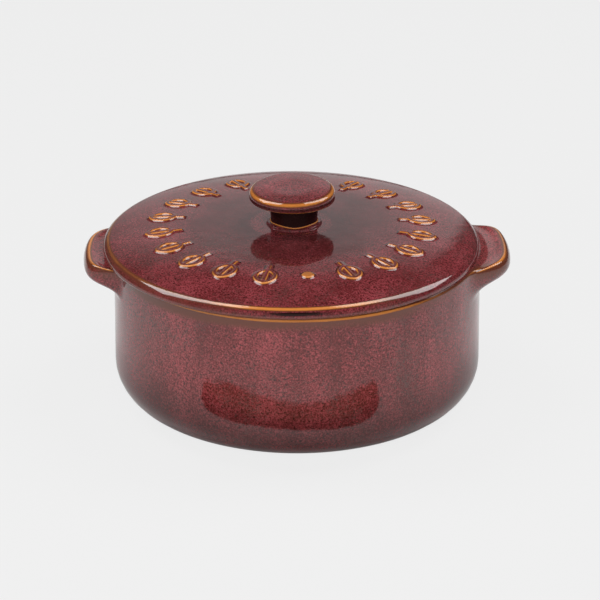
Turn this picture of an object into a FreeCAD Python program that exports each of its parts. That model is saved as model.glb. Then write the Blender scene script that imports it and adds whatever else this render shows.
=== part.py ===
import FreeCAD, Part
import math
import os

# A round baker for one soft cheese: a dish with two lug handles, and a lid with a knob.
# Millimetres, +Z up. The origin is where the dish's axis meets the surface it stands on.
# The lugs point along X.

# Dish wall, outside
rim_radius = 74.2
rim_height = 64.3
rim_round = 1.9
belly_swell = 1.1
base_inset = 18.7
base_slope = 14.5
corner_round = 15.0

# Dish wall, inside
wall_thickness = 4.7
floor_thickness = 6.2
cavity_round = 9.0

# Foot ring under the dish
foot_width = 6.0
foot_depth = 1.6
foot_bevel = 1.0

# Lug handles
lug_reach = 12.3
lug_half_angle = 19.3
lug_squareness = 4.0
lug_depth = 15.8
lug_lip_width = 2.4
lug_lip_drop = 0.3
lug_tip_drop = 4.3
lug_valley_inset = 7.2
lug_valley_drop = 2.1
lug_sink = 0.4

# Lid plate
lid_overhang = 1.9
lid_edge_thickness = 3.4
lid_upper_round = 2.0
lid_lower_bevel = 0.8
lid_rise = 9.6
lid_crown_share = 0.47
lid_shoulder_inset = 5.7
lid_thickness = 6.0
lid_under_flat_radius = 54.0
lid_turn = 5.5

# Locating ring under the lid. The lid lies slid over to its left until the ring nearly meets the mouth.
ring_play = 2.7
ring_rest_gap = 0.3
ring_width = 4.5
ring_depth = 3.2
ring_slant = 1.6

# Knob
knob_rise = 16.0
knob_cap_radius = 17.3
knob_cap_thickness = 5.3
knob_cap_dome = 1.8
knob_cap_round = 1.4
knob_cap_under_drop = 0.9
knob_slope_length = 6.6
knob_crown_share = 0.79
knob_stem_top_radius = 9.65
knob_stem_radius = 9.2
knob_throat_round = 2.2
knob_collar_radius = 12.6
knob_collar_height = 1.0
knob_collar_lip = 0.9

# Raised leaf ring on the lid
relief_places = 20
relief_edge_inset = 16.7
relief_land_margin = 1.4
relief_height = 1.1
relief_sink = 0.9
relief_soft_edge = 0.45
leaf_length = 15.4
leaf_width = 9.2
leaf_stalk_length = 3.2
leaf_stroke = 1.9
dot_radius = 2.6

# Flats that stand for rounds and curves
corner_flats = 4
cavity_flats = 3
edge_flats = 2
lug_top_flats = 2
lug_side_flats = 3
lug_end_sections = 5
leaf_side_flats = 4
dot_flats = 10

# Share of an arm at which a curve's control point makes an even round
round_pull = 0.55

# Places that follow from the sizes above
belly_radius = rim_radius + belly_swell
base_radius = rim_radius - base_inset
mouth_radius = rim_radius - wall_thickness
rim_crest_radius = rim_radius - rim_round
ring_radius = mouth_radius - ring_play
lid_radius = rim_radius + lid_overhang
lid_top_height = rim_height + lid_rise
lid_shift = ring_rest_gap - ring_play
relief_outer_radius = lid_radius - relief_edge_inset
relief_inner_radius = relief_outer_radius - leaf_length

origin = FreeCAD.Vector(0, 0, 0)
up = FreeCAD.Vector(0, 0, 1)
sideways = FreeCAD.Vector(0, 1, 0)


def rounded(corners):
    """The points of an outline whose corners are (x, y), or (x, y, radius, flats) where that many flats
    stand for a round."""
    points = [corners[0][:2]]
    for before, corner, after in zip(corners, corners[1:], corners[2:]):
        if len(corner) == 2:
            points.append(corner)
            continue
        x, y, radius, flats = corner
        inward = math.atan2(before[1] - y, before[0] - x)
        outward = math.atan2(after[1] - y, after[0] - x)
        opening = (outward - inward + math.pi) % (2 * math.pi) - math.pi
        half = abs(opening) / 2
        middle = inward + opening / 2
        centre_x = x + radius / math.sin(half) * math.cos(middle)
        centre_y = y + radius / math.sin(half) * math.sin(middle)
        turn = math.pi - 2 * half
        sense = -math.copysign(1, opening)
        for step in range(flats + 1):
            angle = middle + math.pi + sense * turn * (step / flats - 0.5)
            points.append((centre_x + radius * math.cos(angle), centre_y + radius * math.sin(angle)))
    points.append(corners[-1][:2])
    return points


def turned(corners):
    """The solid of revolution about Z inside an outline of corners (radius, height), and round and flats as
    above. The outline starts and ends on Z."""
    points = [FreeCAD.Vector(radius, 0, height) for radius, height in rounded(corners)]
    face = Part.Face(Part.makePolygon(points + points[:1]))
    return face.revolve(origin, up, 360)


def dish_body():
    """The dish without its lugs: foot ring, full lower corner, nearly upright wall and rounded rim."""
    foot_inner = base_radius - foot_width
    corner_height = (belly_radius - base_radius) * math.tan(math.radians(base_slope))
    return turned(
        [
            (0, foot_depth),
            (foot_inner - foot_bevel, foot_depth),
            (foot_inner, 0),
            (base_radius, 0),
            (belly_radius, corner_height, corner_round, corner_flats),
            (rim_radius, rim_height, rim_round, edge_flats),
            (mouth_radius, rim_height, rim_round, edge_flats),
            (mouth_radius, floor_thickness, cavity_round, cavity_flats),
            (0, floor_thickness),
        ]
    )


def bezier_points(control, shares):
    """Points of a cubic curve with these control points, at these shares of the way along it."""
    points = []
    for t in shares:
        weights = ((1 - t) ** 3, 3 * (1 - t) ** 2 * t, 3 * (1 - t) * t**2, t**3)
        points.append(tuple(sum(w * point[i] for w, point in zip(weights, control)) for i in (0, 1)))
    return points


def lug_outline():
    """The lug's upper, outer and lower line at its middle, from the rim's top round to the wall below.
    A shallow valley lies behind a rounded lip, and the underside sweeps back to the wall."""
    tip = rim_radius + lug_reach
    lip = tip - lug_lip_width
    valley = tip - lug_valley_inset
    lip_height = rim_height - lug_lip_drop
    tip_height = rim_height - lug_tip_drop
    valley_height = rim_height - lug_valley_drop
    foot_height = rim_height - lug_depth
    slope_middle = (rim_crest_radius + valley) / 2
    rise_middle = (valley + lip) / 2
    lip_bulge = lip + round_pull * lug_lip_width
    tip_bulge = tip_height + round_pull * (lip_height - tip_height)
    sweep_middle = (tip_height + foot_height) / 2
    curves = [
        [
            (rim_crest_radius, rim_height),
            (slope_middle, rim_height),
            (slope_middle, valley_height),
            (valley, valley_height),
        ],
        [(valley, valley_height), (rise_middle, valley_height), (rise_middle, lip_height), (lip, lip_height)],
        [(lip, lip_height), (lip_bulge, lip_height), (tip, tip_bulge), (tip, tip_height)],
        [
            (tip, tip_height),
            (tip, sweep_middle),
            (rim_radius, sweep_middle),
            (rim_radius, foot_height),
        ],
    ]
    top_shares = [step / lug_top_flats for step in range(lug_top_flats)]
    side_shares = [step / lug_side_flats for step in range(lug_side_flats)]
    points = []
    for control, shares in zip(curves, (top_shares, top_shares, side_shares, side_shares)):
        points += bezier_points(control, shares)
    return points + [curves[-1][-1]]


def plain_outline(count):
    """The line that the lug's outline shrinks to, a little inside the rim's round and the wall.
    Its knee at the foot of the rim's round answers to the lug's tip."""
    start = (rim_crest_radius - lug_sink, rim_height - lug_sink)
    knee = (rim_radius - lug_sink, rim_height - rim_round)
    foot = (rim_radius - lug_sink, rim_height - lug_depth)
    upper = 2 * lug_top_flats + lug_side_flats
    points = []
    for step in range(count):
        if step <= upper:
            share = step / upper
            low, high = start, knee
        else:
            share = (step - upper) / (count - 1 - upper)
            low, high = knee, foot
        points.append((low[0] + share * (high[0] - low[0]), low[1] + share * (high[1] - low[1])))
    return points


def lug_section(swell, angle):
    """The lug's closed section at one angle from its middle, where swell is the share of its reach there."""
    full = lug_outline()
    plain = plain_outline(len(full))
    skin = [(p[0] + swell * (f[0] - p[0]), p[1] + swell * (f[1] - p[1])) for p, f in zip(plain, full)]
    core = (mouth_radius + rim_crest_radius) / 2
    loop = skin + [(core, skin[-1][1]), (core, skin[0][1])]
    points = [FreeCAD.Vector(radius, 0, height) for radius, height in loop]
    wire = Part.makePolygon(points + points[:1])
    wire.rotate(origin, up, angle)
    return wire


def lug():
    """One lug handle. Its swell is exp(-(angle / half angle) ^ squareness), and its sections stand at levels
    of the swell that lie closer together near nothing and near the full reach."""
    side = []
    for step in range(lug_end_sections):
        level = (1 - math.cos(math.pi * (step + 0.5) / lug_end_sections)) / 2
        side.append((level, lug_half_angle * (-math.log(level)) ** (1 / lug_squareness)))
    stations = [(level, -angle) for level, angle in side] + [(1.0, 0.0)] + side[::-1]
    return Part.makeLoft([lug_section(level, angle) for level, angle in stations], True, True)


def dish():
    """The dish with both lugs, as the one fired piece that it is."""
    right = lug()
    left = right.copy()
    left.rotate(origin, up, 180)
    return dish_body().fuse([right, left]).removeSplitter()


def lid_top_at(radius):
    """The height of the lid's upper surface: a wide crown that falls ever faster towards the edge."""
    fall = lid_rise - lid_edge_thickness
    share = radius / lid_radius
    return lid_top_height - fall * (lid_crown_share * share**2 + (1 - lid_crown_share) * share**6)


def lid_plate():
    """The domed lid with its seat, its locating ring and its knob, without the raised leaves.
    The dome has one flat band under the leaves, so that each of them stands on a single cone."""
    land_inner = relief_inner_radius - relief_land_margin
    land_outer = relief_outer_radius + relief_land_margin
    ring_inner = ring_radius - ring_width
    ring_foot = rim_height - ring_depth
    under_crown = lid_top_height - lid_thickness
    cap_top = lid_top_height + knob_rise
    cap_under = cap_top - knob_cap_thickness
    cap_slope = math.atan2(knob_cap_dome, knob_slope_length)
    crown_round = knob_crown_share * knob_slope_length / math.cos(cap_slope) / math.tan(cap_slope / 2)
    collar_lip_radius = knob_stem_radius + knob_collar_lip
    shoulder = lid_radius - lid_shoulder_inset
    return turned(
        [
            (0, cap_top),
            (knob_cap_radius - knob_slope_length, cap_top, crown_round, edge_flats),
            (knob_cap_radius, cap_top - knob_cap_dome, knob_cap_round, edge_flats),
            (knob_cap_radius, cap_under, knob_cap_round, edge_flats),
            (knob_stem_top_radius, cap_under - knob_cap_under_drop, knob_throat_round, edge_flats),
            (knob_stem_radius, lid_top_height + knob_collar_height),
            (collar_lip_radius, lid_top_height + knob_collar_height / 2),
            (knob_collar_radius, lid_top_at(knob_collar_radius)),
            (land_inner, lid_top_at(land_inner)),
            (land_outer, lid_top_at(land_outer)),
            (shoulder, lid_top_at(shoulder)),
            (lid_radius, lid_top_at(lid_radius), lid_upper_round, edge_flats),
            (lid_radius, rim_height + lid_lower_bevel),
            (lid_radius - lid_lower_bevel, rim_height),
            (ring_radius, rim_height),
            (ring_radius, ring_foot),
            (ring_inner, ring_foot),
            (ring_inner - ring_slant, rim_height),
            (lid_under_flat_radius, under_crown),
            (0, under_crown),
        ]
    )


def lens(half_length, half_width, inset, height, low_y=None):
    """A closed outline of two arcs that meet at two points, drawn smaller by inset.
    With low_y it is only the part of the lens above that line, as in one half of a leaf."""
    radius = (half_length**2 + half_width**2) / (2 * half_width)
    centre = half_width - radius
    reach = radius - inset
    edge = 0 if low_y is None else low_y
    half_turn = math.acos((edge - centre) / reach)
    angles = [half_turn * (1 - 2 * step / leaf_side_flats) for step in range(leaf_side_flats + 1)]
    upper = [FreeCAD.Vector(-reach * math.sin(a), centre + reach * math.cos(a), height) for a in angles]
    if low_y is None:
        upper += [FreeCAD.Vector(-p.x, -p.y, height) for p in upper[1:-1]]
    return Part.makePolygon(upper + upper[:1])


def drafted(outline):
    """A raised shape with soft, leaning sides. outline(inset, height) draws it at one height."""
    levels = [outline(-relief_soft_edge, -relief_sink), outline(relief_soft_edge, relief_height)]
    return Part.makeLoft(levels, True, True)


def hollow(outline):
    """The space inside a raised stroke, which widens towards its top."""
    levels = [outline(relief_soft_edge, -2 * relief_sink), outline(-relief_soft_edge, 2 * relief_height)]
    return Part.makeLoft(levels, True, True)


def leaf():
    """One raised leaf along X: a pointed outline, a midrib and a short stalk, all of one stroke width."""
    half_span = leaf_length / 2
    half_width = leaf_width / 2
    blade_half = half_span - leaf_stalk_length / 2
    half_rib = leaf_stroke / 2
    blade = drafted(lambda inset, z: lens(blade_half, half_width, inset, z))
    upper = hollow(lambda inset, z: lens(blade_half, half_width, leaf_stroke + inset, z, half_rib + inset))
    lower = upper.mirror(origin, sideways)
    blade = blade.cut([upper, lower])
    blade.translate(FreeCAD.Vector(leaf_stalk_length / 2, 0, 0))

    def stalk_outline(inset, height):
        start = inset - half_span
        end = leaf_stalk_length + leaf_stroke - half_span
        half = half_rib - inset / 2
        corners = ((start, -half), (end, -half), (end, half), (start, half), (start, -half))
        return Part.makePolygon([FreeCAD.Vector(x, y, height) for x, y in corners])

    return blade.fuse(drafted(stalk_outline))


def dot():
    """One raised dot."""

    def outline(inset, height):
        radius = dot_radius - inset
        angles = [2 * math.pi * step / dot_flats for step in range(dot_flats)]
        points = [FreeCAD.Vector(radius * math.cos(a), radius * math.sin(a), height) for a in angles]
        return Part.makePolygon(points + points[:1])

    return drafted(outline)


def relief_ring():
    """Leaves set round the lid like the spokes of a wheel, with a dot in front and one behind."""
    land_inner = relief_inner_radius - relief_land_margin
    land_outer = relief_outer_radius + relief_land_margin
    inner_height = lid_top_at(land_inner)
    outer_height = lid_top_at(land_outer)
    middle = FreeCAD.Vector((land_inner + land_outer) / 2, 0, (inner_height + outer_height) / 2)
    slope = math.degrees(math.atan2(inner_height - outer_height, land_outer - land_inner))
    dot_shape = dot()
    leaf_shape = leaf()
    shapes = []
    for place in range(relief_places):
        shape = (dot_shape if place % (relief_places // 2) == 0 else leaf_shape).copy()
        shape.rotate(origin, sideways, slope)
        shape.translate(middle)
        shape.rotate(origin, up, 360 / relief_places * place - 90)
        shapes.append(shape)
    return shapes


def lid():
    """The lid as the one fired piece that it is, where it lies on the rim."""
    solid = lid_plate().fuse(relief_ring())
    solid.rotate(origin, up, lid_turn)
    solid.translate(FreeCAD.Vector(lid_shift, 0, 0))
    return solid


os.makedirs("parts", exist_ok=True)
for name, make in (("dish", dish), ("lid", lid)):
    shape = make()
    print(name, len(shape.Solids), "solid", round(shape.Volume), "mm3", shape.isValid(), shape.BoundBox)
    shape.exportStep(f"parts/{name}.step")
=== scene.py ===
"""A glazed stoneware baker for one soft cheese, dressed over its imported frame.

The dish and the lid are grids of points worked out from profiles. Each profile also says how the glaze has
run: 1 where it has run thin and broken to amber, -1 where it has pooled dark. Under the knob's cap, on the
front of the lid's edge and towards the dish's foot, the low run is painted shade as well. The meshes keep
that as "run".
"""

import math

import bpy
import numpy as np
from bpy.props import FloatProperty, FloatVectorProperty, IntProperty, PointerProperty
from mathutils import Matrix, Vector


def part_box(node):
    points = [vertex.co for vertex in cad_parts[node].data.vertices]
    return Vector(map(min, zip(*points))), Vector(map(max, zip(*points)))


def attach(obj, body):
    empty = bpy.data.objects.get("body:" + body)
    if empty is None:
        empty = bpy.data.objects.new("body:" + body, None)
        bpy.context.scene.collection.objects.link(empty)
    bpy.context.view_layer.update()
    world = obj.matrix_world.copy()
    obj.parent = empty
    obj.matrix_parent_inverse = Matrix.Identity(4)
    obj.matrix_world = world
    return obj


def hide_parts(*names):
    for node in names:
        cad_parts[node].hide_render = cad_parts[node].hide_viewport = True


bl_info = {
    "name": "Cheese baker",
    "version": (1, 0, 0),
    "blender": (4, 5, 0),
    "location": "View3D > Sidebar > Baker",
    "description": "Makes a lidded stoneware cheese baker and its studio",
    "category": "Object",
}

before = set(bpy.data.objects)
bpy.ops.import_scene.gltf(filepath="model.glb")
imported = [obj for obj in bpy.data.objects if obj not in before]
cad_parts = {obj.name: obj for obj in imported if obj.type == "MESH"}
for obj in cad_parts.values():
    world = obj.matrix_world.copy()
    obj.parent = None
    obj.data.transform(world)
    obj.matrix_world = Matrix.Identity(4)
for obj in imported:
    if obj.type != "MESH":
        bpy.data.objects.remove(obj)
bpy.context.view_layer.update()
dish_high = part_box("dish")[1]
lid_low, lid_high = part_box("lid")


def number(name, description, default):
    """A plain number."""
    return FloatProperty(name=name, description=description, default=default)


def length(name, description, size):
    """A size that is a length in metres."""
    return FloatProperty(name=name, description=description, default=size, unit="LENGTH", subtype="DISTANCE")


def colour(name, description, default):
    """A colour as red, green and blue, linear."""
    return FloatVectorProperty(name=name, description=description, default=default, size=3, subtype="COLOR")


def angle_of(name, description, degrees):
    """An angle that is given in degrees and kept in radians."""
    return FloatProperty(name=name, description=description, default=math.radians(degrees), subtype="ANGLE")


def watts(name, description, default):
    """The power of a lamp."""
    return FloatProperty(name=name, description=description, default=default, unit="POWER")


class DishSizes(bpy.types.PropertyGroup):
    rim_height: length("Rim height", "Top of the rim above the ground", dish_high.z)
    rim_radius: length("Rim radius", "Outside of the rim", 0.0742)
    rim_round: length("Rim round", "Radius of the rim's outer and inner round", 0.0019)
    belly_radius: length("Belly radius", "Outside of the wall above the lower corner", dish_high.y)
    base_radius: length("Base radius", "Outside of the foot ring", 0.0555)
    base_slope: angle_of("Base slope", "Rise of the surface outside the foot ring", 14.5)
    corner_round: length("Corner round", "Radius of the lower corner", 0.015)
    wall_thickness: length("Wall thickness", "Thickness of the wall at the rim", 0.0047)
    floor_thickness: length("Floor thickness", "Top of the floor above the ground", 0.0062)
    cavity_round: length("Cavity round", "Radius where floor and wall meet inside", 0.009)
    foot_width: length("Foot width", "Width of the foot ring", 0.006)
    foot_depth: length("Foot depth", "Depth of the recess inside the foot ring", 0.0016)
    foot_bevel: length("Foot bevel", "Width of the slope inside the foot ring", 0.001)
    edge_round: length("Edge round", "Radius of the foot ring's small rounds", 0.0005)
    columns: IntProperty(name="Columns", description="Columns of the dish's grid round the axis", default=520)


class LugSizes(bpy.types.PropertyGroup):
    tip_radius: length("Tip radius", "Outer edge of the lugs", dish_high.x)
    half_angle: angle_of("Half angle", "Angle from a lug's middle to its end", 17.6)
    turn: angle_of("Turn", "Turn of both lugs round the axis", -1.5)
    square: number("Square end", "How square a lug's squarer end is", 9.0)
    soft: number("Soft end", "How square a lug's softer end is", 4.5)
    depth: length("Depth", "Height of the root of a lug under the rim", 0.0158)
    lip_width: length("Lip width", "Width of the rounded lip", 0.0024)
    lip_drop: length("Lip drop", "Top of the lip under the rim", 0.0003)
    tip_drop: length("Tip drop", "Widest point of a lug under the rim", 0.0043)
    valley_inset: length("Valley inset", "Lowest line of the top behind the outer edge", 0.0072)
    valley_drop: length("Valley drop", "Lowest line of the top under the rim", 0.0012)


class LidSizes(bpy.types.PropertyGroup):
    centre_x: length("Centre", "Where the lid's axis lies along X", (lid_low.x + lid_high.x) / 2)
    turn: angle_of("Turn", "Turn of the lid on the rim", 5.5)
    radius: length("Radius", "Outside of the lid", lid_high.y)
    rise: length("Rise", "Top of the dome above the rim", 0.0096)
    edge_thickness: length("Edge thickness", "Height of the lid's edge", 0.0034)
    crown_share: number("Crown share", "Share of the fall in the crown", 0.47)
    shoulder_width: length("Shoulder width", "Last stretch of the dome, before the brow", 0.0015)
    brow_width: length("Brow width", "Width of the slope between the edge's two upper rounds", 0.0019)
    crest_round: length("Crest round", "Radius between the dome and the brow", 0.005)
    brow_round: length("Brow round", "Radius between the brow and the side", 0.0026)
    lower_round: length("Lower round", "Radius of the lower edge", 0.0009)
    thickness: length("Thickness", "Thickness of the lid in its middle", 0.006)
    under_flat_radius: length("Flat underside", "Radius of the flat part of the underside", 0.054)
    under_round: length("Underside round", "Round where the underside begins to slope", 0.012)
    ring_foot: length("Ring foot", "Lower edge of the locating ring", lid_low.z)
    ring_radius: length("Ring radius", "Outside of the locating ring", 0.0668)
    ring_width: length("Ring width", "Width of the locating ring", 0.0045)
    ring_slant: length("Ring slant", "Slant of the ring's inner side", 0.0016)
    ring_round: length("Ring round", "Radius of the ring's edges", 0.0006)
    columns: IntProperty(
        name="Columns", description="Columns of the grid under one leaf, a multiple of 3", default=42
    )


class KnobSizes(bpy.types.PropertyGroup):
    top: length("Top", "Middle of the cap's top above the ground", lid_high.z - 0.00045)
    cap_radius: length("Cap radius", "Outside of the cap", 0.0173)
    cap_thickness: length("Cap thickness", "Height of the cap", 0.0053)
    cap_dome: length("Cap dome", "Fall of the cap's top to its edge", 0.0006)
    cap_tilt: angle_of("Cap tilt", "Tilt of the cap's top to the front", 2.5)
    tilt_turn: angle_of("Tilt turn", "Turn of that tilt to the left", 20)
    cap_shift: length("Cap shift", "Cap's middle beside the lid's middle", 0.0004)
    stem_shift: length("Stem shift", "Stem's middle beside the lid's middle", 0.0012)
    cap_round: length("Cap round", "Radius of the cap's upper edge", 0.0026)
    cap_under_round: length("Cap under round", "Radius of the cap's lower edge", 0.0011)
    under_drop: length("Under drop", "Fall of the cap's underside to the stem", 0.0009)
    slope_length: length("Slope length", "Width of the sloping part of the cap's top", 0.0085)
    crown_round: length("Crown round", "Round between the flat and the sloping part", 0.05)
    stem_top_radius: length("Stem top radius", "Radius of the stem under the cap", 0.0099)
    stem_radius: length("Stem radius", "Radius of the stem at its foot", 0.0094)
    throat_round: length("Throat round", "Round between stem and cap", 0.0022)
    collar_radius: length("Collar radius", "Outside of the shallow collar", 0.0112)
    collar_height: length("Collar height", "Height of the collar at the stem", 0.001)
    collar_step: length("Collar step", "Width of the steep outer edge of the collar", 0.0004)
    collar_round: length("Collar round", "Radius of the collar's edges", 0.0003)
    apron_width: length("Apron width", "Part of the dome beside the collar that moves with the knob", 0.003)
    foot_round: length("Foot round", "Radius where the stem meets the collar", 0.0005)
    foot_rise: length("Foot rise", "How far the stem's foot climbs between front and side", 0.0005)


class LeafSizes(bpy.types.PropertyGroup):
    places: IntProperty(name="Places", description="Places on the ring, two of them dots", default=20)
    edge_inset: length("Edge inset", "Tips of the leaves from the lid's edge", 0.0167)
    leaf_length: length("Length", "Length of a leaf with its stalk", 0.0154)
    leaf_width: length("Width", "Width of a leaf", 0.0098)
    stalk: length("Stalk", "Length of the stalk", 0.0032)
    stroke: length("Stroke", "Width of the raised stroke", 0.0023)
    dot_radius: length("Dot radius", "Radius of a dot", 0.0026)
    height: length("Height", "Height of the relief", 0.00085)
    spread: length("Spread", "How far the foot of a stroke spreads beyond its edge", 0.0008)
    land_margin: length("Margin", "Fine grid on each side of the ring", 0.001)


class GlazeLook(bpy.types.PropertyGroup):
    # The dish and the lid wear one glaze in two copies: the lid's colours are darker than the dish's, painted
    # shade that evens out the stronger light on the lid's top.
    dish_crimson: colour("Dish crimson", "Deep red of the dish", (0.095, 0.012, 0.011))
    dish_rose: colour("Dish rose", "Pale flecks of the dish", (0.32, 0.054, 0.061))
    dish_umber: colour("Dish umber", "Grey-brown flecks of the dish", (0.085, 0.040, 0.036))
    lid_crimson: colour("Lid crimson", "Deep red of the lid", (0.088, 0.010, 0.011))
    lid_rose: colour("Lid rose", "Pale flecks of the lid", (0.245, 0.042, 0.051))
    lid_umber: colour("Lid umber", "Grey-brown flecks of the lid", (0.070, 0.032, 0.029))
    # Night also colours the painted shade where the run is low.
    night: colour("Night", "Dark flecks and pooled glaze", (0.013, 0.004, 0.0035))
    amber: colour("Amber", "Glaze that has run thin over an edge", (0.48, 0.165, 0.030))
    rust: colour("Rust", "Fringe of the amber", (0.10, 0.027, 0.014))
    clay: colour("Clay", "Bare clay on the foot ring", (0.10, 0.06, 0.045))
    fleck: length("Fleck", "Distance between flecks", 0.00066)
    roughness: number("Roughness", "Roughness of the glaze", 0.05)


class StageLook(bpy.types.PropertyGroup):
    aim_height: length("Aim height", "Height of the point that the camera looks at", 0.03958)
    aim_x: length("Aim X", "Place along X of that point", 0.0012)
    distance: length("Distance", "Distance of the camera", 1.0)
    azimuth: angle_of("Azimuth", "Camera's angle round the object", -1.9)
    elevation: angle_of("Elevation", "Camera's angle above the ground", 23.59)
    focal: number("Focal length", "Focal length in millimetres", 146.3)
    paper: colour("Paper", "Pale ground and backdrop", (0.858, 0.858, 0.858))
    fill: number("Backdrop", "Strength of the backdrop in reflections", 0.78)
    dim: number("Room", "Strength of the room round the backdrop", 0.07)
    left_power: watts("Left lamp", "Power of the left lamp", 7.5)
    right_power: watts("Right lamp", "Power of the right lamp", 8.0)
    front_power: watts("Front lamp", "Power of the front lamp", 13.0)


def span(start, end, count):
    """count points from start towards end, in equal steps, without end itself."""
    steps = np.linspace(0, 1, count, endpoint=False)[:, None]
    return np.asarray(start, float) + steps * (np.asarray(end, float) - np.asarray(start, float))


def rounded_outline(corners, run_rows, round_rows):
    """Rows of (radius, height, run of the glaze) along an outline. A corner is (radius, height, round), and
    may add the run at the middle of its round and the run on the straight part after it, which are 0
    otherwise. Each round is the arc that touches both of its sides. Its run goes evenly from one side's to
    the other's, and is drawn to the corner's own by a half sine."""
    corners = [corner + (0,) * (5 - len(corner)) for corner in corners]
    places = [np.array(corner[:2], float) for corner in corners]
    start = places[0]
    flow = corners[0][4]
    rows = []
    for before, corner, after, (size, middle, next_flow) in zip(
        places, places[1:], places[2:], [corner[2:] for corner in corners[1:-1]]
    ):
        back = (before - corner) / np.linalg.norm(before - corner)
        onward = (after - corner) / np.linalg.norm(after - corner)
        half = math.acos(np.clip(back @ onward, -1, 1)) / 2
        reach = size / math.tan(half)
        inward = (back + onward) / np.linalg.norm(back + onward)
        centre = corner + inward * size / math.sin(half)
        first = corner + back * reach - centre
        last = corner + onward * reach - centre
        low = math.atan2(first[1], first[0])
        turn = (math.atan2(last[1], last[0]) - low + math.pi) % (2 * math.pi) - math.pi
        share = np.linspace(0, 1, round_rows, endpoint=False)
        angles = low + turn * share
        level = flow + (next_flow - flow) * share
        level = level + (middle - level) * np.sin(math.pi * share)
        rows.append(np.insert(span(start, centre + first, run_rows), 2, flow, axis=1))
        rows.append(
            np.stack([centre[0] + size * np.cos(angles), centre[1] + size * np.sin(angles), level], axis=1)
        )
        start = centre + last
        flow = next_flow
    rows.append(np.insert(span(start, places[-1], run_rows), 2, flow, axis=1))
    rows.append(np.array([[*places[-1], flow]]))
    return np.concatenate(rows)


def cubic(control, count):
    """count points of the cubic Bezier curve with four control points, without the last one."""
    t = np.linspace(0, 1, count, endpoint=False)[:, None]
    a, b, c, d = (np.array(point, float) for point in control)
    return (1 - t) ** 3 * a + 3 * (1 - t) ** 2 * t * b + 3 * (1 - t) * t**2 * c + t**3 * d


def smooth(value, low, high):
    """0 below low, 1 above high, and 3t^2 - 2t^3 between them."""
    t = np.clip((value - low) / (high - low), 0, 1)
    return t * t * (3 - 2 * t)


def grid_faces(rows, columns, first):
    """Quads of a grid whose points are numbered row by row from first, and which closes round its columns."""
    row, column = np.meshgrid(np.arange(rows - 1), np.arange(columns), indexing="ij")
    after = (column + 1) % columns
    here = first + row * columns
    above = here + columns
    return np.stack([here + column, here + after, above + after, above + column], axis=2).reshape(-1, 4)


def cap_faces(pole, first, columns, facing_start):
    """Triangles from a pole to a row of points. facing_start tells that the pole comes before the row."""
    column = np.arange(columns)
    after = (column + 1) % columns
    faces = np.stack([np.full(columns, pole), first + after, first + column], axis=1)
    return faces if facing_start else faces[:, ::-1]


def step_faces(coarse, fine, columns, coarse_first):
    """Triangles between a row of columns points and a row of three times as many."""
    column = np.arange(columns)
    after = (column + 1) % columns
    count = 3 * columns
    a = coarse + column
    b = coarse + after
    f0, f1, f2, f3 = (fine + (3 * column + k) % count for k in range(4))
    faces = np.concatenate(
        [np.stack(corners, axis=1) for corners in ((a, f1, f0), (a, f2, f1), (a, b, f2), (b, f3, f2))]
    )
    return faces if coarse_first else faces[:, ::-1]


def from_front(angle):
    """Degrees from the front round the axis, from -180 to 180 and positive to the right."""
    return np.degrees((angle + 3 * math.pi / 2) % (2 * math.pi) - math.pi)


def make_mesh(name, points, quads, triangles, attributes):
    """A mesh object at the origin from arrays of points and faces, with one float attribute for each name."""
    mesh = bpy.data.meshes.new(name)
    mesh.vertices.add(len(points))
    mesh.vertices.foreach_set("co", points.astype(np.float32).ravel())
    corners = np.concatenate([quads.ravel(), triangles.ravel()]).astype(np.int32)
    sizes = np.concatenate([np.full(len(quads), 4), np.full(len(triangles), 3)]).astype(np.int32)
    mesh.loops.add(len(corners))
    mesh.loops.foreach_set("vertex_index", corners)
    mesh.polygons.add(len(sizes))
    mesh.polygons.foreach_set("loop_start", (np.cumsum(sizes) - sizes).astype(np.int32))
    mesh.polygons.foreach_set("loop_total", sizes)
    mesh.polygons.foreach_set("use_smooth", np.ones(len(sizes), bool))
    mesh.update(calc_edges=True)
    mesh.validate()
    for key, values in attributes.items():
        mesh.attributes.new(key, "FLOAT", "POINT").data.foreach_set("value", values.astype(np.float32))
    piece = bpy.data.objects.new(name, mesh)
    bpy.context.scene.collection.objects.link(piece)
    return piece


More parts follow.
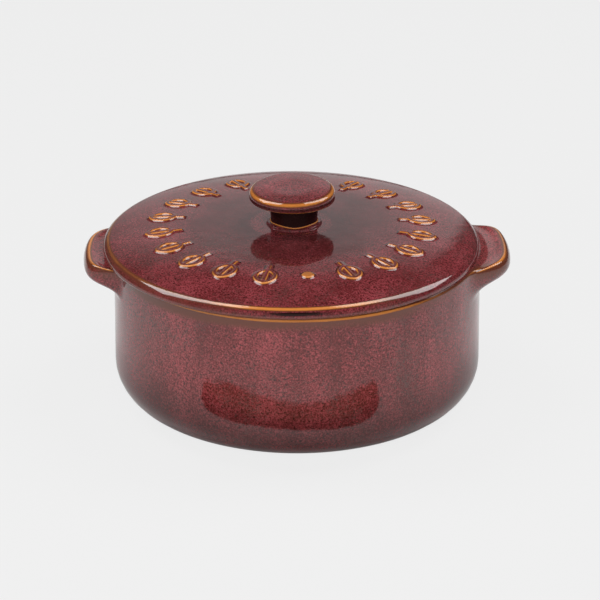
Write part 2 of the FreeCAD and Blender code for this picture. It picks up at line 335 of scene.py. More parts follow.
def dish_profiles(dish, lug):
    """Rows of the plain wall and of the wall with a lug at full reach, from the underside to the floor
    inside. Both have the same number of rows, and differ only from the root of the lug to the rim's crest.
    The wall is straight lines and arcs. The lug is four cubic curves: its underside sweeps out to the tip,
    the lip rounds over, a valley dips behind it, and a slope rises to the rim."""
    rim, height, size = dish.rim_radius, dish.rim_height, dish.rim_round
    under_rows, lip_rows, valley_rows, slope_rows = 22, 14, 10, 12
    foot_inner = dish.base_radius - dish.foot_width
    corner_height = (dish.belly_radius - dish.base_radius) * math.tan(dish.base_slope)
    root = height - lug.depth
    share = (root - corner_height) / (height - corner_height)
    root_radius = dish.belly_radius + share * (rim - dish.belly_radius)
    lower = rounded_outline(
        [
            (0, dish.foot_depth, 0),
            (foot_inner - dish.foot_bevel, dish.foot_depth, dish.edge_round),
            (foot_inner, 0, dish.edge_round),
            # From the foot ring up to the lower corner the run is -0.2: painted shade near the ground.
            (dish.base_radius, 0, dish.edge_round, 0, -0.2),
            (dish.belly_radius, corner_height, dish.corner_round),
            (root_radius, root, 0),
        ],
        run_rows=6,
        round_rows=8,
    )[:-1]
    mouth = rim - dish.wall_thickness
    upper = rounded_outline(
        [
            (rim - size, height, 0, 0, 0.2),
            (mouth, height, size, 0.9),
            (mouth, dish.floor_thickness, dish.cavity_round),
            (0, dish.floor_thickness, 0),
        ],
        run_rows=6,
        round_rows=8,
    )
    tip, lip, valley = lug.tip_radius, lug.tip_radius - lug.lip_width, lug.tip_radius - lug.valley_inset
    tip_height, lip_height = height - lug.tip_drop, height - lug.lip_drop
    valley_height = height - lug.valley_drop
    low = (valley, valley_height)
    sweep = (tip_height + root) / 2
    rise = (valley + lip) / 2
    slope = (rim - size + valley) / 2
    pull = 0.55
    reached = np.concatenate(
        [
            cubic([(root_radius, root), (rim, sweep), (tip, sweep), (tip, tip_height)], under_rows),
            cubic(
                [
                    (tip, tip_height),
                    (tip, tip_height + pull * (lip_height - tip_height)),
                    (lip + pull * lug.lip_width, lip_height),
                    (lip, lip_height),
                ],
                lip_rows,
            ),
            cubic([(lip, lip_height), (rise, lip_height), (rise, valley_height), low], valley_rows),
            cubic([low, (slope, valley_height), (slope, height), (rim - size, height)], slope_rows),
        ]
    )
    # The lug's glaze is thinnest on the crest of the lip, at row 36, and pools just behind it.
    row = [0, 15, 22, 29, 33, 36, 37.5, 39, 44, 52, 57]
    lug_run = np.interp(np.arange(len(reached)), row, [0, 0, 0.3, 0.36, 0.66, 0.95, 0.3, -0.15, 0, 0, 0.2])
    turn = np.linspace(0, math.pi / 2, valley_rows + slope_rows, endpoint=False)[:, None]
    centre = np.array([rim - size, height - size])
    plain = np.concatenate(
        [
            span((root_radius, root), (rim, height - 2 * size), under_rows),
            span((rim, height - 2 * size), (rim, height - size), lip_rows),
            centre + size * np.concatenate([np.cos(turn), np.sin(turn)], axis=1),
        ]
    )
    # The rim's glaze is thinnest about 1 mm under its top, and the thin band ends 7.5 mm under it.
    drop_mm = (height - plain[:, 1]) * 1000
    plain_run = np.interp(drop_mm, [0, 0.6, 0.95, 1.45, 1.9, 4.0, 7.5], [0.1, 0.5, 0.95, 0.78, 0.38, 0.3, 0])
    plain = np.insert(plain, 2, plain_run, axis=1)
    reached = np.insert(reached, 2, lug_run, axis=1)
    return np.concatenate([lower, plain, upper]), np.concatenate([lower, reached, upper])


def dish_grid(dish, lug):
    """The dish as P(angle, row) = plain(row) + swell(angle) (reached(row) - plain(row)), turned round Z.
    The swell is exp(-(angle from a lug's middle / half angle) ^ n), where n is larger at the lug's square end
    than at its soft end. The columns lie closer at the lugs, at u - 0.22 sin 2u.

    The run of its glaze mixes in the same way. It grows along the lip where the lug swells out, is scaled by
    how thin the glaze has run on that side of the rim, and falls towards the foot of the wall as painted
    shade."""
    plain, reached = dish_profiles(dish, lug)
    even = np.arange(dish.columns) * 2 * math.pi / dish.columns
    angle = even - 0.22 * np.sin(2 * even)
    off = (angle - lug.turn + math.pi / 2) % math.pi - math.pi / 2
    power = np.where(off > 0, lug.square, lug.soft)
    swell = np.exp(-((np.abs(off) / lug.half_angle) ** power))
    section = plain[:, None] + swell[None, :, None] * (reached - plain)[:, None]
    radius, height, run = section[..., 0], section[..., 1], section[..., 2]
    lip = smooth(reached[:, 2] - plain[:, 2], 0.1, 0.5)
    run = run + 1.8 * lip[:, None] * swell * (1 - swell)
    sides = [-180, -90, -76, -45, -12, 0, 20, 50, 62, 70, 78, 90, 180]
    shares = [0.8, 0.9, 0.78, 1.3, 1.15, 0.95, 1.05, 0.6, 0.5, 0.95, 0.88, 0.74, 0.8]
    thin = np.interp(from_front(angle), sides, shares)
    run = run * np.where(run > 0, thin, 1)
    # Painted shade: the run falls towards the foot of the wall, which darkens it lower down.
    run = run - 0.42 * smooth(height, 0.050, 0.010) * smooth(radius, 0.05, 0.055)
    return np.stack([radius * np.cos(angle), radius * np.sin(angle), height], axis=2), run


class BAKER_OT_dish(bpy.types.Operator):
    """Make the dish with its foot ring and both lug handles"""

    bl_idname = "baker.dish"
    bl_label = "Dish"

    def execute(self, context):
        dish, look = context.scene.baker_dish, context.scene.baker_glaze
        points, run = dish_grid(dish, context.scene.baker_lug)
        rows, columns = run.shape
        inner = points[1:-1].reshape(-1, 3)
        foot = smooth(dish.foot_depth - inner[:, 2], dish.foot_depth * 0.45, dish.foot_depth * 0.8)
        everything = np.concatenate([points[0, :1], inner, points[-1, :1]])
        last = len(everything) - 1
        piece = make_mesh(
            "dish_glazed",
            everything,
            grid_faces(rows - 2, columns, 1),
            np.concatenate([cap_faces(0, 1, columns, True), cap_faces(last, last - columns, columns, False)]),
            {"run": np.concatenate([run[0, :1], run[1:-1].ravel(), run[-1, :1]]), "bare": np.pad(foot, 1)},
        )
        piece.data.materials.append(
            glaze_material("dish_glaze", look, look.dish_crimson, look.dish_rose, look.dish_umber)
        )
        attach(piece, "root")
        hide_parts("dish")
        return {"FINISHED"}


def leaf_field(leaf, along, across):
    """How deep a place lies inside the stroke of a leaf, in metres, positive inside.
    The blade is where two discs meet, its rim and midrib are strokes, and the stalk is a bar."""
    half_width = leaf.leaf_width / 2
    blade_half = (leaf.leaf_length - leaf.stalk) / 2
    centre = along - leaf.stalk / 2
    disc = (blade_half**2 + half_width**2) / (2 * half_width)
    offset = disc - half_width
    inside = disc - np.hypot(centre, np.abs(across) + offset)
    half = leaf.stroke / 2
    rim = half - np.abs(inside - half)
    rib = np.minimum(half - np.abs(across), inside)
    start = -leaf.leaf_length / 2
    end = start + leaf.stalk + leaf.stroke
    stalk = np.minimum(half - np.abs(across), np.minimum(along - start, end - along))
    return np.maximum(np.maximum(rim, rib), stalk)


def relief(leaf, radius, turned, middle):
    """The ring of leaves and dots at a radius and an angle of the lid, from 0 beside them to 1 on their
    tops: a smooth step of how deep a place lies inside a stroke. A dot's depth stops at 0.24 of a stroke."""
    pitch = 2 * math.pi / leaf.places
    place = np.round(turned / pitch)
    across = radius * np.sin(turned - place * pitch)
    along = radius * np.cos(turned - place * pitch) - middle
    dot = np.minimum(leaf.dot_radius - np.hypot(along, across), leaf.stroke * 0.24)
    depth = np.where(place % (leaf.places // 2) == 0, dot, leaf_field(leaf, along, across))
    return smooth(depth, -leaf.spread, leaf.stroke * 0.36)


def lid_top_at(lid, rim_height, radius):
    """Height of the dome: its top less a fall that grows as the square and the sixth power of the radius."""
    share = radius / lid.radius
    fall = lid.rise - lid.edge_thickness
    return rim_height + lid.rise - fall * (lid.crown_share * share**2 + (1 - lid.crown_share) * share**6)


def lid_strips(lid, knob, leaf, rim_height):
    """Rows of the lid's profile in three strips: knob and inner dome, the band of leaves, and edge and
    underside. A row is (radius, height, run of the glaze). The run is low from the knob's cap side down the
    stem, as pooled glaze and painted shade under the cap, and it falls towards the middle of the dome, darker
    there."""
    top = rim_height + lid.rise
    cap_under = knob.top - knob.cap_thickness
    foot = top + knob.collar_height
    collar_inner = knob.collar_radius - knob.collar_step
    collar_foot = lid_top_at(lid, rim_height, knob.collar_radius)
    apron = knob.collar_radius + knob.apron_width
    knob_rows = rounded_outline(
        [
            (0, knob.top, 0),
            (knob.cap_radius - knob.slope_length, knob.top, knob.crown_round),
            # From the cap's side down to the foot of the stem the run is low: pooled glaze, and painted shade
            # under the cap.
            (knob.cap_radius, knob.top - knob.cap_dome, knob.cap_round, 0.8, -0.45),
            (knob.cap_radius, cap_under, knob.cap_under_round, 0.75, -0.6),
            (knob.stem_top_radius, cap_under - knob.under_drop, knob.throat_round, -1, -1),
            (knob.stem_radius, foot, knob.foot_round, 1.4, 0.1),
            (collar_inner, top + knob.collar_height * 0.8, knob.collar_round, 0, -0.2),
            (knob.collar_radius, collar_foot, knob.collar_round, -0.3, 0),
            (apron, lid_top_at(lid, rim_height, apron), 0),
        ],
        run_rows=6,
        round_rows=7,
    )
    outer = lid.radius - leaf.edge_inset + leaf.land_margin
    inner = outer - leaf.leaf_length - 2 * leaf.land_margin
    brow = lid.radius - lid.brow_width
    shoulder = brow - lid.shoulder_width
    brow_height = lid_top_at(lid, rim_height, brow)
    inner_rows, band_rows, outer_rows = 10, 50, 12
    radii = [
        np.linspace(apron, inner, inner_rows, endpoint=False)[1:],
        np.linspace(inner, outer, band_rows),
        np.linspace(outer, shoulder, outer_rows, endpoint=False)[1:],
    ]
    domes = []
    for radius in radii:
        # The run falls towards the middle of the dome, which makes it darker there.
        pooled = -0.4 * smooth(radius, lid.radius * 0.8, lid.radius * 0.45)
        domes.append(np.stack([radius, lid_top_at(lid, rim_height, radius), pooled], axis=1))
    edge_rows = rounded_outline(
        [
            (shoulder, lid_top_at(lid, rim_height, shoulder), 0),
            (brow, brow_height, lid.crest_round, 1.0, 0.25),
            (lid.radius, brow_height - lid.brow_width, lid.brow_round, 0.22, 0.25),
            (lid.radius, rim_height, lid.lower_round, 0.4, 0.1),
            (lid.ring_radius, rim_height, lid.ring_round / 2),
            (lid.ring_radius, lid.ring_foot, lid.ring_round),
            (lid.ring_radius - lid.ring_width, lid.ring_foot, lid.ring_round),
            (lid.ring_radius - lid.ring_width - lid.ring_slant, rim_height, lid.ring_round),
            (lid.under_flat_radius, top - lid.thickness, lid.under_round),
            (0, top - lid.thickness, 0),
        ],
        run_rows=3,
        round_rows=6,
    )
    return np.concatenate([knob_rows, domes[0]]), domes[1], np.concatenate([domes[2], edge_rows])


def knob_set(knob, radius, height, angle, top):
    """How the knob was set by hand: a shift along X and a rise, both in metres, for each of its points.
    The cap's top tilts to the front, cap and stem stand a little to the right, which fades out over the
    apron, and the stem's foot climbs as the power 1.5 of the sine of twice the angle from the front. The
    climb fades out 4 mm up the stem, and from 0.2 to 1.6 mm outside it."""
    cap_under = knob.top - knob.cap_thickness
    foot = top + knob.collar_height
    heights = [foot, cap_under - 0.002, cap_under + 0.001]
    shift = np.interp(height, heights, [knob.stem_shift, knob.stem_shift, knob.cap_shift])
    apron = smooth(radius, knob.collar_radius, knob.collar_radius + knob.apron_width)
    shift = shift * np.where(height < foot, 1 - apron, 1)
    tilt = radius * np.sin(angle + knob.tilt_turn) * math.tan(knob.cap_tilt)
    rise = tilt * smooth(height, cap_under, knob.top - knob.cap_dome)
    climb = smooth(radius, knob.stem_radius + 0.0016, knob.stem_radius + 0.0002)
    climb *= smooth(height, foot + 0.004, foot)
    return shift, rise + knob.foot_rise * climb * np.abs(np.sin(2 * angle)) ** 1.5


def edge_run(run, height, ahead, rim_height):
    """The run of the glaze on the lid's edge. What is thin, above 0.3, is scaled by how thin the glaze has
    run on that side of the edge, and its fringe by a share of its own. A dark line of painted shade lies on
    the edge 1.2 to 3.4 mm above the rim. It fades as exp(-(angle from the front / 12 degrees)^2)."""
    sides = [-180, -120, -60, -32, -16, 20, 36, 60, 150, 180]
    thin = np.interp(ahead, sides, [0.4, 0.5, 0.4, 0.45, 0.85, 0.85, 0.3, 0, 0, 0.4])
    fringe = np.interp(ahead, [-180, -90, 20, 45, 120, 180], [0.6, 1, 1, 0.2, 0.1, 0.6])
    # Painted shade: a dark line low on the front of the edge.
    line = smooth(height, rim_height + 0.0012, rim_height + 0.0022)
    line *= smooth(height, rim_height + 0.0034, rim_height + 0.0027)
    line *= np.exp(-((ahead / 12) ** 2))
    return np.minimum(run, 0.3) * fringe + np.maximum(run - 0.3, 0) * thin - line


def leaf_run(raised, radii, turned):
    """What the leaves add to the run of the glaze: pooled round their feet, thin on their shoulders and less
    so in the middle of their tops, and more where the slope along Y tells that a flank faces the front, as
    painted light that makes the flanks facing the front amber and leaves the far flanks darker."""
    outward, sideways = np.gradient(raised, radii, turned)
    facing = outward * np.sin(turned) + sideways * np.cos(turned) / radii[:, None]
    levels = [0, 0.08, 0.25, 0.5, 0.75, 0.94, 1]
    added = np.interp(raised, levels, [0, -0.45, -0.25, 0.4, 0.85, 0.8, 0.2])
    # Painted light: flanks that face the front get more amber than the far ones.
    return added + 0.4 * np.tanh(facing / 500)


def lid_grid(lid, knob, leaf, rim_height):
    """The lid as P(angle, row) = the row's radius and height, turned round the lid's own axis, plus the
    relief of the leaves and the way the knob was set. It gives the points, the run of the glaze, and the rows
    of the band of leaves. The angle runs backwards, so that the faces point outwards."""
    strips = lid_strips(lid, knob, leaf, rim_height)
    profile = np.concatenate(strips)
    columns = lid.columns * leaf.places
    angle = -np.arange(columns) * 2 * math.pi / columns
    turned = angle + lid.turn - math.pi / 2
    radius, height, run = (np.repeat(profile[:, k : k + 1], columns, axis=1) for k in range(3))
    inner = slice(0, len(strips[0]))
    band = slice(inner.stop, inner.stop + len(strips[1]))
    edge = slice(band.stop, None)
    middle = lid.radius - leaf.edge_inset - leaf.leaf_length / 2
    raised = relief(leaf, radius[band], angle[None], middle)
    height[band] += leaf.height * raised
    run[band] += leaf_run(raised, strips[1][:, 0], turned)
    run[edge] = edge_run(run[edge], height[edge], from_front(turned), rim_height)
    shift, rise = knob_set(knob, radius[inner], height[inner], turned[None], rim_height + lid.rise)
    height[inner] += rise
    points = np.stack([lid.centre_x + radius * np.cos(turned), radius * np.sin(turned), height], axis=2)
    points[inner, :, 0] += shift
    return points, run, band


class BAKER_OT_lid(bpy.types.Operator):
    """Make the lid with its knob, its ring of raised leaves and its locating ring"""

    bl_idname = "baker.lid"
    bl_label = "Lid"

    def execute(self, context):
        scene = context.scene
        lid, knob, leaf, look = scene.baker_lid, scene.baker_knob, scene.baker_leaf, scene.baker_glaze
        if lid.columns % 3:
            raise ValueError("The lid's columns have to be a multiple of 3")
        points, run, band = lid_grid(lid, knob, leaf, scene.baker_dish.rim_height)
        columns = run.shape[1]
        coarse = columns // 3
        # Each pole is one point, and beside the band of leaves only every third column is kept.
        cuts = (
            (slice(0, 1), slice(0, 1)),
            (slice(1, band.start), slice(0, None, 3)),
            (band, slice(0, None)),
            (slice(band.stop, -1), slice(0, None, 3)),
            (slice(-1, None), slice(0, 1)),
        )
        parts = [points[rows, places].reshape(-1, 3) for rows, places in cuts]
        runs = [run[rows, places].ravel() for rows, places in cuts]
        firsts = np.cumsum([0] + [len(part) for part in parts])
        quads = [
            grid_faces(len(parts[1]) // coarse, coarse, firsts[1]),
            grid_faces(len(parts[2]) // columns, columns, firsts[2]),
            grid_faces(len(parts[3]) // coarse, coarse, firsts[3]),
        ]
        triangles = [
            cap_faces(0, firsts[1], coarse, True),
            step_faces(firsts[2] - coarse, firsts[2], coarse, True),
            step_faces(firsts[3], firsts[3] - columns, coarse, False),
            cap_faces(firsts[4], firsts[4] - coarse, coarse, False),
        ]
        piece = make_mesh(
            "lid_glazed",
            np.concatenate(parts),
            np.concatenate(quads),
            np.concatenate(triangles),
            {"run": np.concatenate(runs), "bare": np.zeros(firsts[-1])},
        )
        piece.data.materials.append(
            glaze_material("lid_glaze", look, look.lid_crimson, look.lid_rose, look.lid_umber)
        )
        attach(piece, "root")
        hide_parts("lid")
        return {"FINISHED"}


def cleared(made):
    """The emptied node tree of a new material or world."""
    made.use_nodes = True
    made.node_tree.nodes.clear()
    return made.node_tree


def node(tree, kind, place, **values):
    """A new node with its place, its settings and the values of its inputs."""
    made = tree.nodes.new(kind)
    made.location = place
    for key, value in values.items():
        if key in made.inputs:
            made.inputs[key].default_value = value
        else:
            setattr(made, key, value)
    return made


def blend(tree, place, factor, first, second, mode="MIX"):
    """A mix of two colours. Each of the three is a socket or a plain value."""
    mix = node(tree, "ShaderNodeMix", place, data_type="RGBA", blend_type=mode)
    for index, value in ((0, factor), (6, first), (7, second)):
        if isinstance(value, bpy.types.NodeSocket):
            tree.links.new(value, mix.inputs[index])
        else:
            mix.inputs[index].default_value = value
    return mix.outputs[2]


def ranged(tree, place, value, low, high):
    """A smooth step from 0 to 1 as a value goes from low to high."""
    step = node(tree, "ShaderNodeMapRange", place, interpolation_type="SMOOTHSTEP")
    step.inputs["From Min"].default_value = low
    step.inputs["From Max"].default_value = high
    tree.links.new(value, step.inputs["Value"])
    return step.outputs["Result"]


def sum_of(tree, place, first, second, share):
    """first plus share times second."""
    add = node(tree, "ShaderNodeMath", place, operation="MULTIPLY_ADD")
    tree.links.new(second, add.inputs[0])
    add.inputs[1].default_value = share
    tree.links.new(first, add.inputs[2])
    return add.outputs["Value"]


def times(tree, place, first, second):
    """The product of two values."""
    product = node(tree, "ShaderNodeMath", place, operation="MULTIPLY")
    tree.links.new(first, product.inputs[0])
    tree.links.new(second, product.inputs[1])
    return product.outputs["Value"]


def glaze_group():
    """The reactive glaze: fine flecks of rose, umber and near black in crimson, dark where it has pooled and
    where a low run paints shade, amber with a fringe of rust where it has run thin, and bare clay. It puts
    out a colour, a roughness and a height."""
    found = bpy.data.node_groups.get("reactive_glaze")
    if found:
        return found
    group = bpy.data.node_groups.new("reactive_glaze", "ShaderNodeTree")
    face = group.interface
    for name in ("Crimson", "Rose", "Umber", "Night", "Amber", "Rust", "Clay"):
        face.new_socket(name, in_out="INPUT", socket_type="NodeSocketColor")
    for name in ("Run", "Bare", "Fleck scale", "Gloss"):
        face.new_socket(name, in_out="INPUT", socket_type="NodeSocketFloat")
    face.new_socket("Color", in_out="OUTPUT", socket_type="NodeSocketColor")
    face.new_socket("Roughness", in_out="OUTPUT", socket_type="NodeSocketFloat")
    face.new_socket("Height", in_out="OUTPUT", socket_type="NodeSocketFloat")
    ins = node(group, "NodeGroupInput", (-1400, 0))
    outs = node(group, "NodeGroupOutput", (1400, 0))
    place = node(group, "ShaderNodeTexCoord", (-1400, 500))
    link = group.links.new

    stretch = node(group, "ShaderNodeMapping", (-1300, 100))
    stretch.inputs["Scale"].default_value = (1, 1, 0.4)
    shift = node(group, "ShaderNodeMapping", (-1300, 350))
    shift.inputs["Location"].default_value = (3.1, 1.7, 5.3)
    fine = node(group, "ShaderNodeTexNoise", (-1100, 600), Detail=2.0, Roughness=0.6, Distortion=0.4)
    other = node(group, "ShaderNodeTexNoise", (-1100, 350), Detail=2.0, Roughness=0.6, Distortion=0.4)
    cloud = node(group, "ShaderNodeTexNoise", (-1100, 100), Scale=60.0, Detail=4.0, Roughness=0.6)
    haze = node(group, "ShaderNodeTexNoise", (-1100, -50), Scale=38.0, Detail=4.0, Roughness=0.6)
    wave = node(group, "ShaderNodeTexNoise", (-1100, -250), Scale=150.0, Detail=2.0)
    for mapping in (stretch, shift):
        link(place.outputs["Object"], mapping.inputs["Vector"])
    for texture, source in (
        (fine, place.outputs["Object"]),
        (wave, place.outputs["Object"]),
        (other, shift.outputs["Vector"]),
        (haze, shift.outputs["Vector"]),
        (cloud, stretch.outputs["Vector"]),
    ):
        link(source, texture.inputs["Vector"])
    for texture in (fine, other):
        link(ins.outputs["Fleck scale"], texture.inputs["Scale"])

    rosy = sum_of(group, (-850, 600), fine.outputs["Fac"], cloud.outputs["Fac"], 0.5)
    rosy = ranged(group, (-650, 600), rosy, 0.64, 0.99)
    grey = sum_of(group, (-850, 350), other.outputs["Fac"], haze.outputs["Fac"], 0.7)
    grey = ranged(group, (-650, 350), grey, 0.80, 1.15)
    deep = ranged(group, (-650, -100), fine.outputs["Fac"], 0.44, 0.26)
    now = blend(group, (-400, 500), rosy, ins.outputs["Crimson"], ins.outputs["Rose"])
    now = blend(group, (-200, 450), grey, now, ins.outputs["Umber"])
    now = blend(group, (0, 400), deep, now, ins.outputs["Night"])

    ragged = sum_of(group, (-400, -300), ins.outputs["Run"], other.outputs["Fac"], 0.16)
    ragged = sum_of(group, (-300, -300), ragged, haze.outputs["Fac"], 0.24)
    # Where the run is low the colour turns to Night: pooled glaze, and in places painted shade.
    pool_and_shade = ranged(group, (-200, -50), ragged, 0.05, -0.45)
    rust = ranged(group, (-200, -200), ragged, 0.28, 0.58)
    amber = ranged(group, (-200, -400), ragged, 0.66, 1.08)
    now = blend(group, (400, 300), pool_and_shade, now, ins.outputs["Night"])
    now = blend(group, (600, 250), rust, now, ins.outputs["Rust"])
    now = blend(group, (800, 200), amber, now, ins.outputs["Amber"])
    now = blend(group, (1000, 150), ins.outputs["Bare"], now, ins.outputs["Clay"])
    link(now, outs.inputs["Color"])

    thin = ranged(group, (400, -250), ins.outputs["Run"], 0.7, 1.1)
    rough = sum_of(group, (500, -100), ins.outputs["Gloss"], fine.outputs["Fac"], 0.05)
    rough = sum_of(group, (650, -100), rough, thin, 0.3)
    rough = sum_of(group, (800, -100), rough, ins.outputs["Bare"], 0.6)
    link(rough, outs.inputs["Roughness"])
    link(wave.outputs["Fac"], outs.inputs["Height"])
    return group


def glaze_material(name, look, crimson, rose, umber):
    """A material whose colour, roughness and height come from the reactive glaze."""
    material = bpy.data.materials.new(name)
    material.use_nodes = True
    tree = material.node_tree
    link = tree.links.new
    shader = tree.nodes["Principled BSDF"]
    shader.inputs["IOR"].default_value = 1.5
    group = node(tree, "ShaderNodeGroup", (-400, 0), node_tree=glaze_group())
    colours = {"Crimson": crimson, "Rose": rose, "Umber": umber, "Night": look.night}
    colours.update({"Amber": look.amber, "Rust": look.rust, "Clay": look.clay})
    for key, value in colours.items():
        group.inputs[key].default_value = (*value, 1.0)
    group.inputs["Fleck scale"].default_value = 1 / look.fleck
    group.inputs["Gloss"].default_value = look.roughness
    for key, height in (("run", 100), ("bare", -100)):
        attribute = node(tree, "ShaderNodeAttribute", (-700, height), attribute_name=key)
        link(attribute.outputs["Fac"], group.inputs[key.capitalize()])
    bump = node(tree, "ShaderNodeBump", (-200, -200), Strength=0.5, Distance=0.00015)
    link(group.outputs["Height"], bump.inputs["Height"])
    link(group.outputs["Color"], shader.inputs["Base Color"])
    link(group.outputs["Roughness"], shader.inputs["Roughness"])
    link(bump.outputs["Normal"], shader.inputs["Normal"])
    return material


def paper_material(look):
    """The pale ground: mostly flat paper colour for the camera, with a share of real light that keeps the
    shadow, and a plainly lit surface for everything else, with painted shade close to the dish and behind it."""
    material = bpy.data.materials.new("paper")
    tree = cleared(material)
    link = tree.links.new
    out = node(tree, "ShaderNodeOutputMaterial", (600, 0))
    diffuse = node(tree, "ShaderNodeBsdfDiffuse", (0, -150))
    glow = node(tree, "ShaderNodeEmission", (0, 50))
    glow.inputs["Color"].default_value = (*look.paper, 1.0)
    where = node(tree, "ShaderNodeTexCoord", (-1000, -300))
    reach = node(tree, "ShaderNodeVectorMath", (-800, -300), operation="LENGTH")
    link(where.outputs["Object"], reach.inputs[0])
    # Painted shade in the floor's own colour: darker close to the dish and behind it.
    near = ranged(tree, (-600, -300), reach.outputs["Value"], 0.145, 0.080)
    far = (*(0.93 * tone for tone in look.paper), 1.0)
    close = (*(0.85 * tone for tone in look.paper), 1.0)
    shaded = blend(tree, (-300, -300), near, far, close)
    parts = node(tree, "ShaderNodeSeparateXYZ", (-800, -500))
    link(where.outputs["Object"], parts.inputs["Vector"])
    behind = ranged(tree, (-600, -500), parts.outputs["Y"], -0.06, 0.08)
    shaded = blend(tree, (-150, -300), behind, shaded, (0.8, 0.8, 0.8, 1.0), "MULTIPLY")
    link(shaded, diffuse.inputs["Color"])
    ray = node(tree, "ShaderNodeLightPath", (-200, 300))
    share = node(tree, "ShaderNodeMath", (150, 300), operation="MULTIPLY")
    share.inputs[1].default_value = 0.95
    mix = node(tree, "ShaderNodeMixShader", (350, 0))
    link(ray.outputs["Is Camera Ray"], share.inputs[0])
    link(share.outputs["Value"], mix.inputs["Fac"])
    link(diffuse.outputs["BSDF"], mix.inputs[1])
    link(glow.outputs["Emission"], mix.inputs[2])
    link(mix.outputs["Shader"], out.inputs["Surface"])
    return material


def card_material():
    """A sheet in front that only mirrors see, and so a painted reflection in the dish's wall: nearly black,
    as painted shade, and brown, as a painted lit top, where its attribute "painted_light_share" is 1."""
    material = bpy.data.materials.new("card")
    tree = cleared(material)
    out = node(tree, "ShaderNodeOutputMaterial", (300, 0))
    diffuse = node(tree, "ShaderNodeBsdfDiffuse", (0, 0))
    painted_light_share = node(tree, "ShaderNodeAttribute", (-500, 0), attribute_name="painted_light_share")
    brown = blend(tree, (-250, 0), painted_light_share.outputs["Fac"], (0.02, 0.01, 0.01, 1.0), (0.22, 0.13, 0.08, 1.0))
    tree.links.new(brown, diffuse.inputs["Color"])
    tree.links.new(diffuse.outputs["BSDF"], out.inputs["Surface"])
    return material


def studio_world(look):
    """A pale backdrop for the camera. For the rest of the light, a dim room with a bright backdrop behind and
    to the left, up to about 30 degrees, and a glow half as strong in front, up to about 40 degrees."""
    world = bpy.data.worlds.new("studio")
    tree = cleared(world)
    link = tree.links.new
    out = node(tree, "ShaderNodeOutputWorld", (1000, 0))
    where = node(tree, "ShaderNodeTexCoord", (-800, 0))
    parts = node(tree, "ShaderNodeSeparateXYZ", (-600, 0))
    link(where.outputs["Generated"], parts.inputs["Vector"])
    left = node(tree, "ShaderNodeVectorMath", (-600, 250), operation="DOT_PRODUCT")
    left.inputs[1].default_value = (-math.sin(math.radians(75)), math.cos(math.radians(75)), 0)
    link(where.outputs["Generated"], left.inputs[0])
    bright = ranged(tree, (-400, 0), parts.outputs["Z"], 0.60, 0.38)
    for height, value, low, high in (
        (200, left.outputs["Value"], -0.03, 0.03),
        (400, parts.outputs["Y"], -0.2, 0.15),
        (600, parts.outputs["X"], -0.5, 0.05),
    ):
        bright = times(tree, (-100, height), bright, ranged(tree, (-400, height), value, low, high))
    ahead = ranged(tree, (-400, 800), parts.outputs["Y"], -0.25, -0.65)
    ahead = times(tree, (-100, 800), ahead, ranged(tree, (-400, 1000), parts.outputs["Z"], 0.75, 0.55))
    bright = sum_of(tree, (50, 400), bright, ahead, 0.5)
    strength = node(tree, "ShaderNodeMapRange", (100, 0))
    strength.inputs["To Min"].default_value = look.dim
    strength.inputs["To Max"].default_value = look.fill
    link(bright, strength.inputs["Value"])
    lit = node(tree, "ShaderNodeBackground", (400, -100))
    link(strength.outputs["Result"], lit.inputs["Strength"])
    seen = node(tree, "ShaderNodeBackground", (400, 100))
    seen.inputs["Color"].default_value = (*look.paper, 1.0)
    ray = node(tree, "ShaderNodeLightPath", (400, 400))
    mix = node(tree, "ShaderNodeMixShader", (700, 0))
    link(ray.outputs["Is Camera Ray"], mix.inputs["Fac"])
    link(lit.outputs["Background"], mix.inputs[1])
    link(seen.outputs["Background"], mix.inputs[2])
    link(mix.outputs["Shader"], out.inputs["Surface"])
    return world


def area_lamp(name, start, end, width, power):
    """A long soft lamp between two places, turned so that it faces the middle of the object."""
    start, end = Vector(start), Vector(end)
    middle = (start + end) / 2
    along = (end - start).normalized()
    back = middle - Vector((0, 0, 0.05))
    back = (back - along * back.dot(along)).normalized()
    lamp = bpy.data.lights.new(name, "AREA")
    lamp.shape = "RECTANGLE"
    lamp.size = (end - start).length
    lamp.size_y = width
    lamp.energy = power
    made = bpy.data.objects.new(name, lamp)
    made.location = middle
    made.rotation_euler = Matrix((along, back.cross(along), back)).transposed().to_euler()
    bpy.context.scene.collection.objects.link(made)
    return made


def floor_card():
    """A bent strip that lies in front of the dish. Its edges are polynomials of the fourth and fifth degree
    along it, and it is dark along the edge near the dish, as painted shade, and brown along the far one, as a
    painted lit top. Only mirrors see it, so it paints a reflection into the dish's wall."""
    count = 33
    t = np.linspace(-1, 1, count)
    near = np.stack([0.080 * t - 0.007, -0.1015 + 0.0367 * t**2 - 0.009 * t**3 - 0.0317 * t**4], axis=1)
    far = np.stack([0.091 * t - 0.009, -0.132 + 0.0235 * t**4 - 0.0115 * t**5], axis=1)
    rows = [np.insert(near + share * (far - near), 2, 0.003, axis=1) for share in (0, 0.3, 0.5, 1)]
    step = np.arange(count - 1)
    strip = np.stack([step, step + 1, step + count + 1, step + count], axis=1)
    quads = np.concatenate([strip + k * count for k in range(3)])
    # Painted light: 0 along the dark near edge, 1 along the brown far one.
    painted_light_share = np.repeat([0.0, 0.0, 1.0, 1.0], count)
    card = make_mesh("card", np.concatenate(rows), quads, np.zeros((0, 3), int), {"painted_light_share": painted_light_share})
    card.data.materials.append(card_material())
    card.visible_camera = False
    card.visible_diffuse = False
    card.visible_shadow = False


def ground(look):
    """A disc of 3 m round the object, with its corners on a circle."""
    corners, reach = 64, 3
    angle = np.arange(corners) * 2 * math.pi / corners
    rim = np.stack([reach * np.cos(angle), reach * np.sin(angle), 0 * angle], axis=1)
    points = np.concatenate([np.zeros((1, 3)), rim])
    floor = make_mesh("floor", points, np.zeros((0, 4), int), cap_faces(0, 1, corners, False), {})
    floor.data.materials.append(paper_material(look))


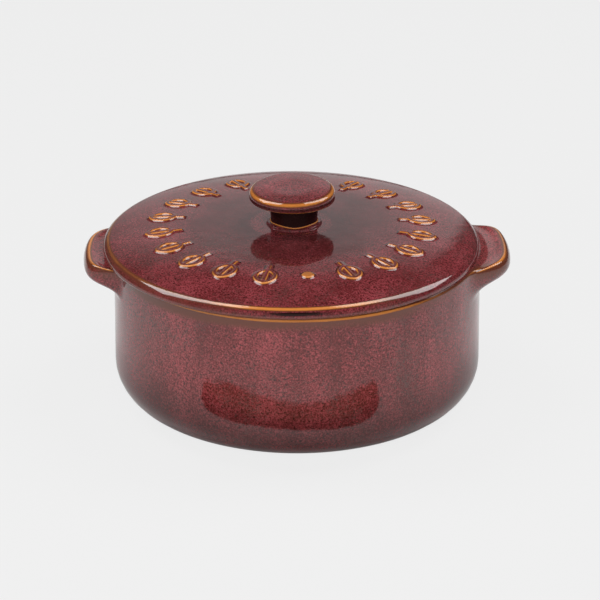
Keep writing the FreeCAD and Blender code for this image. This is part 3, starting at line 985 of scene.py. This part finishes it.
def studio_camera(look):
    """A camera at a distance, an angle round the object and an angle above the ground, turned to its aim."""
    camera = bpy.data.objects.new("camera", bpy.data.cameras.new("camera"))
    flat = look.distance * math.cos(look.elevation)
    height = look.distance * math.sin(look.elevation)
    back = Vector((flat * math.sin(look.azimuth), -flat * math.cos(look.azimuth), height))
    camera.location = Vector((look.aim_x, 0, look.aim_height)) + back
    camera.rotation_euler = (-back).to_track_quat("-Z", "Y").to_euler()
    camera.data.lens = look.focal
    camera.data.sensor_width = 36
    bpy.context.scene.collection.objects.link(camera)
    return camera


class BAKER_OT_stage(bpy.types.Operator):
    """Make the ground, the studio light and the camera"""

    bl_idname = "baker.stage"
    bl_label = "Stage"

    def execute(self, context):
        scene = context.scene
        look = scene.baker_stage
        scene.view_settings.view_transform = "Standard"
        ground(look)
        floor_card()
        scene.world = studio_world(look)
        area_lamp("left lamp", (-0.24, 0.11, 1.12), (-0.82, 0.28, 0.76), 0.46, look.left_power)
        area_lamp("right lamp", (0.24, 0.11, 1.12), (0.92, 0.30, 0.66), 0.46, look.right_power)
        front = area_lamp("front lamp", (-0.9, -1.1, 0.7), (0.5, -1.25, 0.7), 0.8, look.front_power)
        front.visible_glossy = False
        scene.camera = studio_camera(look)
        return {"FINISHED"}


class BAKER_PT_panel(bpy.types.Panel):
    """The baker's pieces and its stage"""

    bl_idname = "BAKER_PT_panel"
    bl_label = "Cheese baker"
    bl_space_type = "VIEW_3D"
    bl_region_type = "UI"
    bl_category = "Baker"

    def draw(self, context):
        for operator in (BAKER_OT_dish, BAKER_OT_lid, BAKER_OT_stage):
            self.layout.operator(operator.bl_idname)
        for key in GROUPS:
            group = getattr(context.scene, key)
            box = self.layout.box()
            for name in group.__annotations__:
                box.prop(group, name)


GROUPS = {
    "baker_dish": DishSizes,
    "baker_lug": LugSizes,
    "baker_lid": LidSizes,
    "baker_knob": KnobSizes,
    "baker_leaf": LeafSizes,
    "baker_glaze": GlazeLook,
    "baker_stage": StageLook,
}
CLASSES = (*GROUPS.values(), BAKER_OT_dish, BAKER_OT_lid, BAKER_OT_stage, BAKER_PT_panel)


def register():
    for cls in CLASSES:
        bpy.utils.register_class(cls)
    for key, group in GROUPS.items():
        setattr(bpy.types.Scene, key, PointerProperty(type=group))


def unregister():
    for key in GROUPS:
        delattr(bpy.types.Scene, key)
    for cls in reversed(CLASSES):
        bpy.utils.unregister_class(cls)


def main():
    register()
    bpy.ops.baker.dish()
    bpy.ops.baker.lid()
    bpy.ops.baker.stage()


if __name__ == "__main__":
    main()
